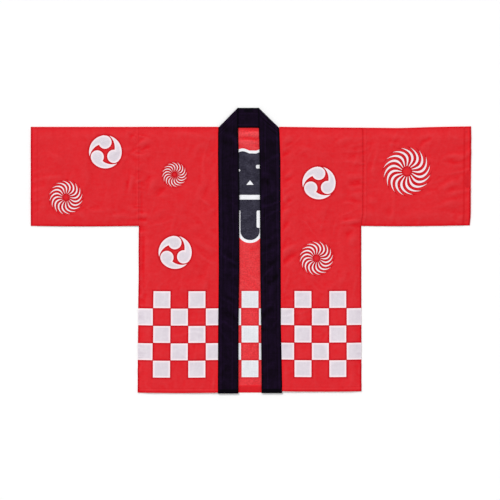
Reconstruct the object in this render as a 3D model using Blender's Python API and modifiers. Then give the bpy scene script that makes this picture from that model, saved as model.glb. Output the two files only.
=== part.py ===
# Happi coat, laid flat with its front up.
# Metres. +Z is up from the surface that the coat lies on, +Y runs from the hem to the neck,
# and the wearer's right side is at -X. The origin is on that surface, under the middle of the coat.
#
# The back panel and the lower layer of each sleeve lie flat. The fronts and the upper layer of each
# sleeve lie over them as one gently crowned layer, which comes down to the seams and the folds.

import math
from collections import namedtuple

import bmesh
import bpy
from mathutils import Vector

# Cut, as sewn
body_length = 0.800        # shoulder line to hem
body_width = 0.670         # side seam to side seam
sleeve_length = 0.328      # armhole seam to cuff
sleeve_depth = 0.298       # top fold to underarm seam
collar_width = 0.060       # the folded band
front_opening = 0.064      # between the two bands
neck_drop = 0.002          # the back neck seam lies below the shoulder line

# Cloth
cloth = 0.0012             # wall of the panels and sleeves
band = 0.0026              # the band's folded layers together
seam_gap = 0.0003          # between pieces sewn to each other
neck_ease = 0.0008         # the neck corners are cut back, clear of the folded band

# Lie of the upper layer
crown_height = 0.0043      # middle of its thickness, where it lies over the other layer
seam_roll = 0.035          # how far in from a seam or a fold it has risen to that
hem_settle = 0.0012        # how much lower it lies at the hem and the cuffs
settle_reach = 0.080

# Worked out
half_width = body_width / 2
cuff_x = half_width + sleeve_length
collar_inner = front_opening / 2
collar_outer = collar_inner + collar_width
overall_length = body_length - neck_drop + collar_width
hem_y = -overall_length / 2
shoulder_y = hem_y + body_length
underarm_y = shoulder_y - sleeve_depth
neck_seam_y = shoulder_y - neck_drop
seam_height = cloth * 1.5 + seam_gap

# The main folds in the upper layer. Each is a soft ridge, or a trough where its height is negative:
# its middle, the way it runs in degrees from +X, its length, its width and its height.
Fold = namedtuple("Fold", "x y turn length width height")
folds = [
    Fold(x=-0.324, y=0.302, turn=20, length=0.070, width=0.012, height=-0.0009),
    Fold(x=-0.318, y=0.276, turn=12, length=0.075, width=0.013, height=0.0009),
    Fold(x=-0.292, y=0.196, turn=66, length=0.095, width=0.013, height=0.0010),
    Fold(x=-0.266, y=0.176, turn=42, length=0.080, width=0.013, height=-0.0008),
    Fold(x=-0.326, y=0.104, turn=4, length=0.090, width=0.012, height=0.0010),
    Fold(x=-0.319, y=-0.040, turn=90, length=0.240, width=0.012, height=-0.0010),
    Fold(x=-0.200, y=0.348, turn=-3, length=0.160, width=0.013, height=0.0007),
    Fold(x=-0.395, y=0.205, turn=80, length=0.110, width=0.014, height=0.0008),
    Fold(x=-0.470, y=0.125, turn=6, length=0.160, width=0.015, height=-0.0006),
    Fold(x=-0.585, y=0.245, turn=-30, length=0.120, width=0.015, height=0.0008),
    Fold(x=0.121, y=0.002, turn=28, length=0.110, width=0.014, height=0.0014),
    Fold(x=0.116, y=-0.031, turn=40, length=0.100, width=0.013, height=-0.0010),
    Fold(x=0.306, y=0.088, turn=5, length=0.110, width=0.012, height=0.0014),
    Fold(x=0.315, y=0.033, turn=36, length=0.080, width=0.014, height=0.0012),
    Fold(x=0.277, y=0.327, turn=23, length=0.090, width=0.013, height=0.0008),
    Fold(x=0.318, y=0.196, turn=3, length=0.090, width=0.012, height=-0.0009),
    Fold(x=0.319, y=0.170, turn=16, length=0.090, width=0.013, height=0.0009),
    Fold(x=0.531, y=0.328, turn=34, length=0.090, width=0.013, height=-0.0010),
    Fold(x=0.615, y=0.279, turn=2, length=0.120, width=0.013, height=0.0008),
    Fold(x=0.600, y=0.195, turn=22, length=0.110, width=0.014, height=0.0009),
    Fold(x=0.600, y=0.138, turn=11, length=0.130, width=0.014, height=0.0007),
]

# Fineness of the faceted cloth
front_columns = 20
front_rows = 60
sleeve_sections = 24
sleeve_lower_steps = 6
sleeve_upper_steps = 22
sleeve_fold_steps = 4
band_fold_steps = 8

red = (0.73, 0.027, 0.034, 1.0)
near_black = (0.008, 0.004, 0.011, 1.0)


def smooth(amount):
    amount = max(0.0, min(1.0, amount))
    return amount * amount * (3 - 2 * amount)


# The upper layer

def distance_to_seam(x, y):
    # to the nearest shoulder line, side seam, top fold or underarm seam
    from_middle = abs(x)
    if from_middle > half_width:
        side = y - underarm_y
    elif y < underarm_y:
        side = half_width - from_middle
    else:
        side = math.hypot(half_width - from_middle, y - underarm_y)
    return max(0.0, min(shoulder_y - y, side))


def fold_height(x, y):
    # each fold fades out along its length and to twice its width on both sides
    total = 0.0
    for fold in folds:
        turn = math.radians(fold.turn)
        along = (x - fold.x) * math.cos(turn) + (y - fold.y) * math.sin(turn)
        across = (y - fold.y) * math.cos(turn) - (x - fold.x) * math.sin(turn)
        if abs(along) < fold.length / 2 and abs(across) < fold.width * 2:
            lengthwise = math.cos(math.pi * along / fold.length) ** 2
            sideways = math.cos(math.pi * across / (4 * fold.width)) ** 2
            total += fold.height * lengthwise * sideways
    return total


def upper_height(x, y):
    # the middle of the upper layer's thickness, above the surface
    risen = smooth(distance_to_seam(x, y) / seam_roll)
    clear_of_band = smooth((abs(x) - collar_outer) / settle_reach)
    edge = min(y - hem_y, cuff_x - abs(x))
    settled = hem_settle * (1 - smooth(edge / settle_reach)) * clear_of_band
    crown = crown_height - settled - seam_height
    return seam_height + risen * (crown + fold_height(x, y) * clear_of_band)


# Making meshes

def grid_object(name, columns, rows, place, closed=False, capped=False):
    # a grid whose corners are moved by place(column, row)
    grid = bmesh.new()
    bmesh.ops.create_grid(grid, x_segments=columns, y_segments=rows, size=0.5)
    for corner in grid.verts:
        column = round((corner.co.x + 0.5) * columns)
        row = round((corner.co.y + 0.5) * rows)
        corner.co = place(column, row)
    if closed:
        bmesh.ops.remove_doubles(grid, verts=grid.verts, dist=0.00001)
    if capped:
        bmesh.ops.holes_fill(grid, edges=grid.edges)
    bmesh.ops.recalc_face_normals(grid, faces=grid.faces)
    mesh = bpy.data.meshes.new(name)
    grid.to_mesh(mesh)
    grid.free()
    piece = bpy.data.objects.new(name, mesh)
    coat.objects.link(piece)
    return piece


def give_wall(piece, thickness):
    wall = piece.modifiers.new("wall", "SOLIDIFY")
    wall.thickness = thickness
    wall.offset = 0.0
    wall.use_even_offset = True
    wall.use_quality_normals = True


def dye(piece, colour, roughness):
    material = bpy.data.materials.new(piece.name + " cloth")
    material.use_nodes = True
    surface = material.node_tree.nodes["Principled BSDF"]
    surface.inputs["Base Color"].default_value = colour
    surface.inputs["Roughness"].default_value = roughness
    surface.inputs["Metallic"].default_value = 0.0
    piece.data.materials.append(material)


# The pieces

def make_back():
    # a flat panel: its outline, with the neck cut along the shoulder line, raised to its wall
    neck = collar_outer + neck_ease
    neck_y = neck_seam_y - seam_gap
    outline = [
        (-half_width, hem_y), (half_width, hem_y), (half_width, shoulder_y), (neck, shoulder_y),
        (neck, neck_y), (-neck, neck_y), (-neck, shoulder_y), (-half_width, shoulder_y),
    ]
    curve = bpy.data.curves.new("back outline", "CURVE")
    curve.dimensions = "2D"
    curve.fill_mode = "BOTH"
    curve.extrude = cloth / 2
    edge = curve.splines.new("POLY")
    edge.points.add(len(outline) - 1)
    for point, (x, y) in zip(edge.points, outline):
        point.co = (x, y, 0, 1)
    edge.use_cyclic_u = True
    piece = bpy.data.objects.new("back", curve)
    piece.location.z = cloth / 2
    coat.objects.link(piece)
    dye(piece, red, 0.8)


def make_front(name, side):
    def place(column, row):
        y = hem_y + body_length * row / front_rows
        neck_turn = smooth((y - (neck_seam_y - collar_width / 6)) / (collar_width / 6))
        inner = collar_outer + seam_gap + neck_ease * neck_turn
        x = side * (inner + (half_width - inner) * column / front_columns)
        return x, y, upper_height(x, y)

    piece = grid_object(name, front_columns, front_rows, place)
    give_wall(piece, cloth)
    dye(piece, red, 0.8)


def sleeve_ring(x):
    # the middle of the wall, once round: lower layer, top fold, upper layer, underarm fold
    radius = (seam_height - cloth / 2) / 2
    top = shoulder_y - cloth / 2 - radius
    under = underarm_y + cloth / 2 + radius
    ring = []
    for step in range(sleeve_lower_steps):
        ring.append((under + (top - under) * step / sleeve_lower_steps, cloth / 2))
    for step in range(sleeve_fold_steps):
        turn = math.pi * step / sleeve_fold_steps
        ring.append((top + radius * math.sin(turn), cloth / 2 + radius * (1 - math.cos(turn))))
    for step in range(sleeve_upper_steps):
        y = top + (under - top) * step / sleeve_upper_steps
        ring.append((y, seam_height if step == 0 else upper_height(x, y)))
    for step in range(sleeve_fold_steps):
        turn = math.pi * step / sleeve_fold_steps
        ring.append((under - radius * math.sin(turn), cloth / 2 + radius * (1 + math.cos(turn))))
    return ring


def make_sleeve(name, side):
    armhole_x = half_width + seam_gap
    steps_round = sleeve_lower_steps + sleeve_upper_steps + 2 * sleeve_fold_steps

    def place(column, row):
        x = side * (armhole_x + (cuff_x - armhole_x) * column / sleeve_sections)
        y, z = sleeve_ring(x)[row % steps_round]
        return x, y, z

    piece = grid_object(name, sleeve_sections, steps_round, place, closed=True)
    give_wall(piece, cloth)
    dye(piece, red, 0.8)


def band_sections():
    # Each section of the band is its seam edge, its free edge and the way its outside faces.
    # From the hem the band runs straight up the front, then folds over a 45 degree line, and its
    # lower half runs across the back neck. The fold's sections lie along that line.
    top_z = crown_height
    low_z = band / 2
    radius = (top_z - low_z) / 2
    shift = math.pi * radius / math.sqrt(2)
    along = Vector((-1, 1, 0)).normalized()
    outward = Vector((1, 1, 0)).normalized()
    up = Vector((0, 0, 1))
    start = Vector((collar_outer, neck_seam_y - shift, top_z - radius))
    half = [(Vector((collar_outer, hem_y, top_z)), Vector((collar_inner, hem_y, top_z)), up)]
    for step in range(band_fold_steps + 1):
        turn = math.pi * step / band_fold_steps
        facing = outward * math.sin(turn) + up * math.cos(turn)
        seam_edge = start + along * (radius * turn) + facing * radius
        free_edge = seam_edge + along * (collar_width * math.sqrt(2))
        half.append((seam_edge, free_edge, facing))
    other = [tuple(Vector((-part.x, part.y, part.z)) for part in section) for section in reversed(half)]
    return half + other


def make_collar():
    edge = 0.025
    profile = [
        (0.0, -0.4), (edge, -1.0), (1 - edge, -1.0), (1.0, -0.4),
        (1.0, 0.4), (1 - edge, 1.0), (edge, 1.0), (0.0, 0.4),
    ]
    sections = band_sections()

    def place(column, row):
        seam_edge, free_edge, facing = sections[column]
        across, height = profile[row % len(profile)]
        return seam_edge.lerp(free_edge, across) + facing * (height * band / 2)

    piece = grid_object("collar", len(sections) - 1, len(profile), place, closed=True, capped=True)
    dye(piece, near_black, 0.7)


for old in list(bpy.data.objects):
    bpy.data.objects.remove(old, do_unlink=True)
coat = bpy.data.collections.new("happi_coat")
bpy.context.scene.collection.children.link(coat)

make_back()
make_front("front_right", -1)
make_front("front_left", 1)
make_sleeve("sleeve_right", -1)
make_sleeve("sleeve_left", 1)
make_collar()
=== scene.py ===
import math

import bpy
import numpy as np
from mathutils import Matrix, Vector


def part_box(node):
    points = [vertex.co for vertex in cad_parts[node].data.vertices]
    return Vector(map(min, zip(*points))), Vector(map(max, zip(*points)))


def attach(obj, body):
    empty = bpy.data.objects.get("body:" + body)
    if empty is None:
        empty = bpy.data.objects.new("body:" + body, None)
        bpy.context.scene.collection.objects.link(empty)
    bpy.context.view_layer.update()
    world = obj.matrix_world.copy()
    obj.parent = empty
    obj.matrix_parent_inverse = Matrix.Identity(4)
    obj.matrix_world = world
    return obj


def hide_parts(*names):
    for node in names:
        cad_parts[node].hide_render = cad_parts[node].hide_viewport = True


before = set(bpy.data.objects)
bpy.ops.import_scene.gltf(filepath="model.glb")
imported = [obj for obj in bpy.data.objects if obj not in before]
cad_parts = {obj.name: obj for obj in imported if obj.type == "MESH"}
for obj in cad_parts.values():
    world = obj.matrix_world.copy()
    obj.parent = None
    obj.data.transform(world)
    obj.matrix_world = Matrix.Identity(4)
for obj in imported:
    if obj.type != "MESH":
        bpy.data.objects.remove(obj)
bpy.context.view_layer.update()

# Happi coat laid flat, front up: red printed cotton with a near-black collar band.
# Metres, +Y towards the neck, the wearer's right at -X.
# u and v are places on the flat cut: u as x, v down from the shoulder line.

print("stage: sizes from the frame")

backLow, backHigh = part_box("back")
sleeveLow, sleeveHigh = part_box("sleeve_left")
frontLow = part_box("front_left")[0]
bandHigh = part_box("collar")[1]

halfWidth = backHigh.x
hemY = backLow.y
shoulderY = backHigh.y
bodyLength = shoulderY - hemY
cuffX = sleeveHigh.x
underarmY = sleeveLow.y
sleeveDepth = shoulderY - underarmY
seamGap = 0.0003
bandOuter = frontLow.x - seamGap
bandWidth = 0.060
bandInner = bandOuter - bandWidth
neckDrop = shoulderY + bandWidth - bandHigh.y

cloth = {
    "thickness": 0.0005,
    "rest": 0.0003,          # middle of the lowest layer above the floor
    "onBack": 0.0009,        # the lowest that cloth on top of that layer can lie
    "seamHeight": 0.0021,    # middle of the upper layer beside a seam
    "crown": 0.0043,         # and away from one
    "roll": 0.035,
    "settle": 0.0010,
    "settleReach": 0.080,
    "hemTurn": 0.00035,      # radius of a hem's fold
    "stitchDip": 0.00055,    # how far a row of stitches pulls the cloth in
    "edgeRoll": 0.0016,      # reach of the rounding at a seam
    "edgeDrop": 0.0008,
    "armholeRoll": 0.0040,   # the same where a sleeve is sewn in
    "armholeDrop": 0.0020,
    "sewnGap": 0.00005,      # between two pieces that are sewn edge to edge
    "creases": 1.3,          # how deep all the creases are
    "lean": 0.3,             # how much steeper a crease's one flank is
    "crumple": 1.5,          # how deep the small crumpling is
}


# Flat coordinates for a grid: even steps, and closer lines where a seam, fold or stitch line runs.
def gridLines(start, end, step, fine=()):
    lines = list(np.linspace(start, end, max(2, round(abs(end - start) / step) + 1)))
    for place, reach, spacing in fine:
        lines = [line for line in lines if abs(line - place) > reach + spacing]
        lines += list(np.arange(place - reach, place + reach + spacing / 2, spacing))
    low, high = min(start, end), max(start, end)
    lines = sorted(line for line in lines if low < line < high)
    return np.array([low] + [line for line in lines if low + 1e-5 < line < high - 1e-5] + [high])


# Reach and spacing of the closer lines at a seam, and along a hem's stitches and round its fold.
seamLines = (0.0018, 0.0003)


def hemLines(edge, stitch):
    return [(edge - stitch, 0.0024, 0.0006), (edge + 0.0005, 0.001, 0.0002)]


def smooth(t):
    t = np.clip(t, 0.0, 1.0)
    return t * t * (3 - 2 * t)


# Main creases of the upper layer, seen from above. Each row is a ridge, or a trough where its height is
# negative: middle, direction in degrees, length, width, height, and how far it bows, in millimetres.
creaseColumns = ("x", "y", "turn", "length", "width", "height", "bow")
upperCreases = [
    # right front, wearer's left
    (121, 2, 28, 100, 10, 1.4, 4),
    (116, -31, 40, 95, 9, -1.1, 3),
    (112, 26, 35, 60, 7, -0.6, 2),
    (306, 88, 5, 95, 6.5, 1.4, -2),
    (318, 73, -8, 60, 6, -0.8, 2),
    (315, 33, 36, 75, 11, 1.2, 3),
    (300, 50, 38, 60, 8, -0.8, 2),
    (277, 327, 23, 80, 8, 0.7, 4),
    (318, 196, 3, 80, 8, -0.9, 3),
    (319, 170, 16, 85, 9, 0.9, -3),
    (312, 222, 10, 70, 8, 0.6, 3),
    (308, 145, -12, 60, 7, -0.5, 2),
    (256, -20, 62, 110, 12, -0.6, 6),
    (170, 300, -20, 90, 10, 0.5, 4),
    (118, 335, 38, 55, 7, 0.6, 2),
    (115, 290, 32, 50, 7, -0.6, 2),
    (117, 228, 42, 55, 7, 0.8, 2),
    (115, 210, 38, 50, 6, -0.8, 2),
    (113, 160, 45, 55, 7, 0.9, 3),
    (112, 142, 40, 50, 6, -0.8, 2),
    (110, 118, 30, 45, 6, 0.6, 1),
    (110, 78, 48, 50, 7, -0.7, 2),
    (110, 60, 40, 45, 6, 0.6, 2),
    (280, -90, 74, 120, 13, 0.5, 6),
    (215, 70, 8, 100, 10, 0.4, 5),
    # left front, wearer's right
    (-324, 302, 20, 60, 7, -1, 2),
    (-318, 284, 12, 70, 8, 1, 3),
    (-292, 196, 66, 85, 9, 1, 4),
    (-305, 214, 58, 60, 7, -0.6, 3),
    (-266, 176, 42, 70, 8, -0.8, 3),
    (-326, 104, 4, 70, 6, 1.1, 2),
    (-323, 90, -6, 60, 6, -0.8, 1),
    (-326, 82, 8, 60, 6, 0.9, 1),
    (-280, 108, 30, 70, 9, 0.6, 3),
    (-319, -20, 90, 210, 5.5, -1.6, 2),
    (-319, -150, 88, 120, 6, -0.6, -2),
    (-328, 40, 80, 50, 6, 0.7, 2),
    (-328, -15, 95, 60, 6, 0.8, 2),
    (-327, -75, 84, 60, 6, 0.6, 2),
    (-200, 350, -3, 150, 7, 0.6, 3),
    (-150, 310, 30, 80, 9, 0.5, 4),
    (-125, 270, -40, 70, 8, 0.5, 3),
    (-240, 130, -55, 80, 10, -0.4, 4),
    (-170, 60, 20, 110, 12, 0.4, 5),
    (-130, -60, 70, 120, 10, -0.4, 5),
    # left sleeve
    (-335.2, 155, 90, 260, 6.2, 1.1, 1),
    (-328, 150, 91, 230, 6.5, -0.9, 1),
    (-328, 318, 38, 70, 7, 1.2, 2),
    (-338, 306, 32, 70, 6, -1.2, 2),
    (-352, 345, 50, 50, 7, -0.7, 2),
    (-357, 205, 80, 85, 6, 0.8, 3),
    (-366, 195, 78, 70, 6, -0.6, 2),
    (-352, 120, -30, 60, 8, 0.7, 3),
    (-470, 125, 6, 150, 11, -0.5, 5),
    (-585, 275, -30, 90, 10, 0.6, 4),
    (-600, 215, 8, 90, 9, 0.6, 3),
    (-500, 235, -62, 90, 11, 0.5, 5),
    (-400, 100, 12, 100, 9, 0.5, 3),
    (-630, 130, 68, 80, 9, 0.5, 3),
    # right sleeve
    (531, 328, 34, 75, 7, -1.1, 3),
    (537, 342, 30, 60, 7, 0.6, 2),
    (615, 279, 2, 100, 8, 0.9, 3),
    (610, 262, -4, 80, 8, -0.6, 3),
    (600, 195, 22, 90, 9, 1, 4),
    (607, 178, 16, 70, 8, -0.7, 3),
    (600, 138, 11, 110, 9, 0.8, 4),
    (615, 112, -10, 80, 8, -0.6, 3),
    (446, 86, 84, 45, 7, 0.7, 2),
    (630, 90, 60, 50, 8, 0.6, 2),
    (365, 240, 25, 60, 9, 0.6, 3),
    (362, 150, -18, 55, 9, 0.6, 3),
    (430, 345, -8, 110, 9, 0.5, 3),
    (520, 110, 4, 110, 10, 0.4, 4),
]

# The lowest layer lies on the floor, so its creases only rise from it.
lowerCreases = [
    (-210, 300, 34, 130, 10, 0.8, 5),
    (240, 265, -28, 120, 10, 0.8, 5),
    (290, 110, 12, 110, 9, 0.9, 4),
    (-300, 85, -16, 110, 9, 0.9, 4),
    (-285, -80, 78, 160, 11, 0.7, 6),
    (300, -150, 82, 180, 11, 0.7, 6),
    (75, -120, 64, 140, 12, 0.6, 5),
    (-90, 60, -52, 120, 11, 0.6, 5),
    (8, 348, 4, 100, 7, 2.2, 3),
    (-6, 324, -3, 100, 8, 2.2, 2),
    (4, 306, -6, 85, 7, 1.4, 3),
    (-4, 285, -14, 70, 8, 1, 2),
    (6, 20, 12, 70, 10, 0.5, 3),
    (-450, 290, -24, 120, 10, 0.7, 4),
    (-590, 160, 66, 110, 10, 0.7, 4),
    (470, 160, 30, 130, 10, 0.7, 4),
    (600, 300, -58, 100, 10, 0.7, 4),
    (-370, 200, 74, 90, 9, 0.8, 3),
    (368, 230, 100, 90, 9, 0.8, 3),
]


def creaseHeight(creases, x, y):
    total = np.zeros_like(x)
    for row in creases:
        crease = dict(zip(creaseColumns, row))
        turn = math.radians(crease["turn"])
        right, up = x * 1000 - crease["x"], y * 1000 - crease["y"]
        along = right * math.cos(turn) + up * math.sin(turn)
        across = up * math.cos(turn) - right * math.sin(turn)
        t = along / (crease["length"] / 2)
        across = across - crease["bow"] * (1 - t * t)
        narrow = 0.55 + 0.45 * np.cos(np.clip(t, -1, 1) * math.pi / 2)
        # one flank is steeper than the other
        narrow = narrow * (1 - cloth["lean"] * np.sign(across) * np.sign(crease["height"]))
        fade = np.where(np.abs(t) < 1, np.cos(np.clip(t, -1, 1) * math.pi / 2) ** 2, 0)
        s = np.clip(across / (crease["width"] * narrow), -2, 2)
        total += crease["height"] * fade * np.cos(s * math.pi / 4) ** 2
    return total / 1000


# Small irregular ripples, the same each run: a few sines of unlike lengths, bent by each other.
def ripple(s, t, length, seed):
    a = s / length * 2 * math.pi
    b = t / length * 2 * math.pi
    bend = np.sin(0.37 * a + 0.61 * b + seed) + np.sin(0.83 * b - 0.29 * a + 2.1 * seed)
    total = np.sin(a + 1.3 * bend + 1.7 * seed) + 0.7 * np.sin(1.71 * a + 0.9 * bend + 3.1 * seed)
    return total * 0.5 * (0.6 + 0.4 * np.sin(0.23 * a + 0.41 * b + 5 * seed))


# Smooth random hills and hollows between -1 and 1, about as far apart as size.
def hills(x, y, size, seed):
    level = np.random.default_rng(seed).uniform(-1, 1, (64, 64))
    a, b = x / size + 31.7, y / size + 23.1
    column, row = np.floor(a).astype(int), np.floor(b).astype(int)
    s, t = smooth(a - column), smooth(b - row)
    column, row = column % 64, row % 64
    nextColumn, nextRow = (column + 1) % 64, (row + 1) % 64
    near = level[column, row] * (1 - s) + level[nextColumn, row] * s
    far = level[column, nextRow] * (1 - s) + level[nextColumn, nextRow] * s
    return near * (1 - t) + far * t


# Uneven wrinkles that run side by side in one direction, turn degrees from x.
def streaks(x, y, turn, spacing, stretch, seed):
    turn = np.radians(turn)
    along = x * np.cos(turn) + y * np.sin(turn)
    across = y * np.cos(turn) - x * np.sin(turn)
    across = across + 0.4 * spacing * hills(along, across, spacing * 3, seed + 1)
    swell = hills(along / stretch, across, spacing, seed)
    ridge = smooth(1 - 2.6 * np.abs(hills(along / stretch / 1.3, across * 0.8, spacing, seed + 2)))
    return (0.45 * swell + 0.75 * (ridge - 0.3)) * (0.6 + 0.6 * hills(x, y, spacing * 4, seed + 3))


# Crumpled cloth: soft swells, and patches of short wrinkles in a few directions.
crumpled = {"broad": (0.058, 0.00045), "fine": (0.024, 0.00016), "patch": 0.100, "wrinkle": 0.00042}
crumpleWrinkles = ((14, 0.021, 3.2), (-38, 0.018, 3.0), (72, 0.023, 3.6), (40, 0.016, 2.6))


def crumple(x, y, seed):
    height = 0
    for plus, key in enumerate(("broad", "fine")):
        size, rise = crumpled[key]
        height = height + rise * hills(x, y, size, seed + plus)
    for turn, spacing, stretch in crumpleWrinkles:
        seed += 5
        patch = smooth(hills(x, y, crumpled["patch"], seed + 3) * 2.2)
        height += crumpled["wrinkle"] * patch * streaks(x, y, turn, spacing, stretch, seed)
    return height


def distanceToSeam(x, y):
    fromMiddle = np.abs(x)
    beside = np.where(
        fromMiddle > halfWidth,
        y - underarmY,
        np.where(y < underarmY, halfWidth - fromMiddle, np.hypot(halfWidth - fromMiddle, y - underarmY)),
    )
    return np.maximum(0.0, np.minimum(shoulderY - y, beside))


# Wrinkles that gather near something: height, reach, direction in degrees, spacing, stretch, seed.
wrinkles = {
    "armhole": (0.00150, 0.050, 10, 0.017, 4, 71),
    "band": (0.00170, 0.030, 38, 0.019, 2.6, 73),
    "cuff": (0.00130, 0.080, 12, 0.024, 4, 75),
    "side": (0.00120, 0.014, 8, 0.0125, 1.7, 77),
    "pressed": (0.00045, 1, 88, 0.022, 5, 79),
    "shoulder": (0.00090, 0.030, 70, 0.020, 2, 81),
    "underarm": (0.00070, 0.020, 80, 0.021, 2, 83),
    "small": (0.00024, 1, 18, 0.0115, 2.4, 87),
    "smaller": (0.00024, 1, -48, 0.0125, 2.2, 89),
}
tight = {"height": 0.00080, "reach": 0.012, "spacing": 0.019}


def upperHeight(x, y):
    fromMiddle = np.abs(x)
    side = np.sign(x)
    toBand = fromMiddle - bandOuter
    toArmhole = np.abs(fromMiddle - halfWidth)
    toCuff = cuffX - fromMiddle
    nearSeam = distanceToSeam(x, y)
    onBody = y > underarmY
    onSleeve = fromMiddle > halfWidth
    risen = smooth(nearSeam / cloth["roll"])
    toEdge = np.minimum(y - hemY, toCuff)
    settled = 1 - smooth(toEdge / cloth["settleReach"])
    settled = cloth["settle"] * settled * smooth(toBand / cloth["settleReach"])
    height = cloth["seamHeight"] + risen * (cloth["crown"] - settled - cloth["seamHeight"])
    creased = creaseHeight(upperCreases, x, y) * (0.35 + 0.65 * risen) * smooth(toBand / 0.012)
    crumples = crumple(x, y, 40) * (0.25 + 0.75 * risen) * smooth(toBand / 0.010)
    height += cloth["creases"] * creased + cloth["crumple"] * crumples
    clear = risen * smooth(toBand / 0.008)

    def gather(place, distance, share, mirror=1):
        rise, reach, turn, spacing, stretch, seed = wrinkles[place]
        return rise * np.exp(-distance / reach) * share * streaks(x, y, turn * mirror, spacing, stretch, seed)

    height += gather("armhole", toArmhole, onBody * clear, side)
    tightShare = onBody * np.exp(-toArmhole / tight["reach"]) * (0.75 - 0.25 * side) * clear
    height += tight["height"] * tightShare * ripple(y, x * 0.25, tight["spacing"], 1.1 + side * 0.4)
    height += gather("band", toBand, (0.7 + 0.3 * side) * clear)
    height += gather("cuff", toCuff, (0.75 + 0.25 * side) * onSleeve * clear)
    height += gather("side", toArmhole, (y <= underarmY) * (1.4 - 0.5 * side))
    height += gather("pressed", 0, smooth((underarmY - 0.05 - y) / 0.15) * clear)
    height += gather("shoulder", shoulderY - y, clear, side)
    height += gather("underarm", np.abs(y - underarmY), onSleeve)
    # the smallest wrinkles lie near seams and edges
    nearest = np.minimum(np.minimum(toArmhole, toBand), nearSeam)
    nearEdge = np.maximum(np.exp(-nearest / 0.030), np.exp(-toCuff / 0.060))
    everywhere = (0.3 + 0.7 * nearEdge) * np.minimum(clear + 0.3, 1)
    return height + gather("small", 0, everywhere, side) + gather("smaller", 0, everywhere, side)


def lowerHeight(x, y):
    clear = smooth(np.minimum(distanceToSeam(x, y), y - hemY) / 0.020)
    height = cloth["creases"] * creaseHeight(lowerCreases, x, y)
    height += cloth["crumple"] * (crumple(x, y, 60) + 0.0006)
    return cloth["rest"] + np.maximum(height, 0) * clear


# How far the laid cloth strays from its straight cut, seen from above.
lie = {
    "flareRight": 0.0034,    # the side seams, out at the hem
    "flareLeft": 0.0006,
    "leftOut": 0.0024,       # all that lies past the wearer's left side seam
    "leftSeam": 0.0032,      # and its armhole further still
    "seamReach": 0.030,
    "waver": 0.0007,
    "cuffRight": 0.0031,
    "cuffLeft": -0.0013,
    "cuffTop": 0.0016,
    "sleeveUp": 0.0016,
    "bow": 0.0016,           # the sleeves' lower edges and the hems
    "hemBow": 0.0012,
    "sag": 0.0026,           # the wearer's left shoulder, between neck and cuff
    "dip": 0.0014,
    "dipAt": 0.45,
    "dipReach": 0.06,
    "raised": 0.0016,        # the left front's lower part, and its hem
    "raisedHem": 0.0026,
}


def lieShift(x, y):
    side = np.sign(x)
    fromMiddle = np.abs(x)
    toSide = (fromMiddle - bandOuter) / (halfWidth - bandOuter)
    toCuff = (fromMiddle - halfWidth) / (cuffX - halfWidth)
    low = smooth((underarmY - y) / 0.5)
    onBody = smooth(toSide) * (fromMiddle <= halfWidth + 0.001)
    onSleeve = smooth(toCuff)
    down = shoulderY - y
    dx = side * low * onBody * np.where(side < 0, lie["flareRight"], lie["flareLeft"])
    dx += lie["leftOut"] * smooth(toSide) * (x > 0) * smooth((y - underarmY + 0.01) / 0.05)
    atSeam = np.exp(-(((x - halfWidth) / lie["seamReach"]) ** 2))
    dx += lie["leftSeam"] * atSeam * smooth((y - underarmY + 0.005) / 0.05)
    dx += lie["waver"] * ripple(y, x * 0, 0.31, 1.9 + 0.5 * side) * onBody
    cuffLeft = lie["cuffTop"] * smooth((y - underarmY) / sleeveDepth) + lie["cuffLeft"]
    dx += onSleeve * np.where(side < 0, lie["cuffRight"], cuffLeft)
    dy = onSleeve * np.where(side < 0, 0.0, lie["sleeveUp"])
    dy -= lie["bow"] * np.sin(math.pi * np.clip(toCuff, 0, 1)) * smooth(down / sleeveDepth)
    dy -= lie["hemBow"] * np.sin(math.pi * np.clip(toSide, 0, 1)) * smooth(down / bodyLength)
    sag = lie["sag"] * np.sin(math.pi * np.clip((x - bandOuter) / (cuffX - bandOuter), 0, 1))
    sag += lie["dip"] * np.exp(-(((x - lie["dipAt"]) / lie["dipReach"]) ** 2))
    dy -= sag * smooth(1 - down / 0.06) * (x > 0)
    raised = lie["raised"] * low + lie["raisedHem"] * smooth((hemY + 0.05 - y) / 0.04)
    dy += smooth((x - bandInner) / 0.03) * raised
    return dx, dy


# How far the band strays sideways from straight, in millimetres, at places down from the shoulder.
strayColumns = ("down", "leftFree", "leftSeam", "rightFree", "rightSeam")
bandStray = np.array([
    (-60, -6.5, -6.5, -4.0, -4.0),
    (-5, -6.0, -5.5, -4.0, -2.5),
    (20, -4.7, -2.7, -3.8, -4.6),
    (100, -3.2, 0.3, -2.2, -4.8),
    (200, -2.3, 0.4, -0.6, -3.8),
    (430, -1.0, 1.2, -0.5, -2.4),
    (600, 1.4, 1.6, -3.1, -4.2),
    (770, 2.8, 5.3, -3.3, -5.2),
])


def strayOf(edge, y):
    down = (shoulderY - y) * 1000
    return np.interp(down, bandStray[:, 0], bandStray[:, strayColumns.index(edge)]) / 1000


def roundedEdge(d, reach=cloth["edgeRoll"], drop=cloth["edgeDrop"]):
    # how far the cloth has dropped towards the seam at a distance d from it
    t = np.clip(1 - d / reach, 0, 1)
    return drop * (1 - np.sqrt(np.clip(1 - t * t, 0, 1)))


def armholeFall(d, y, side):
    # the wearer's right armhole is crumpled, the left one more even
    share = 1.0
    if side < 0:
        share = np.interp(shoulderY - y, (0.08, 0.14, 0.28), (0.02, 0.08, 0.10))
        share = np.clip(share + 0.10 * ripple(y, y * 0, 0.047, 6.3), 0.02, 1.0)
    return roundedEdge(np.maximum(d, 0), cloth["armholeRoll"], cloth["armholeDrop"] * share)


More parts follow.
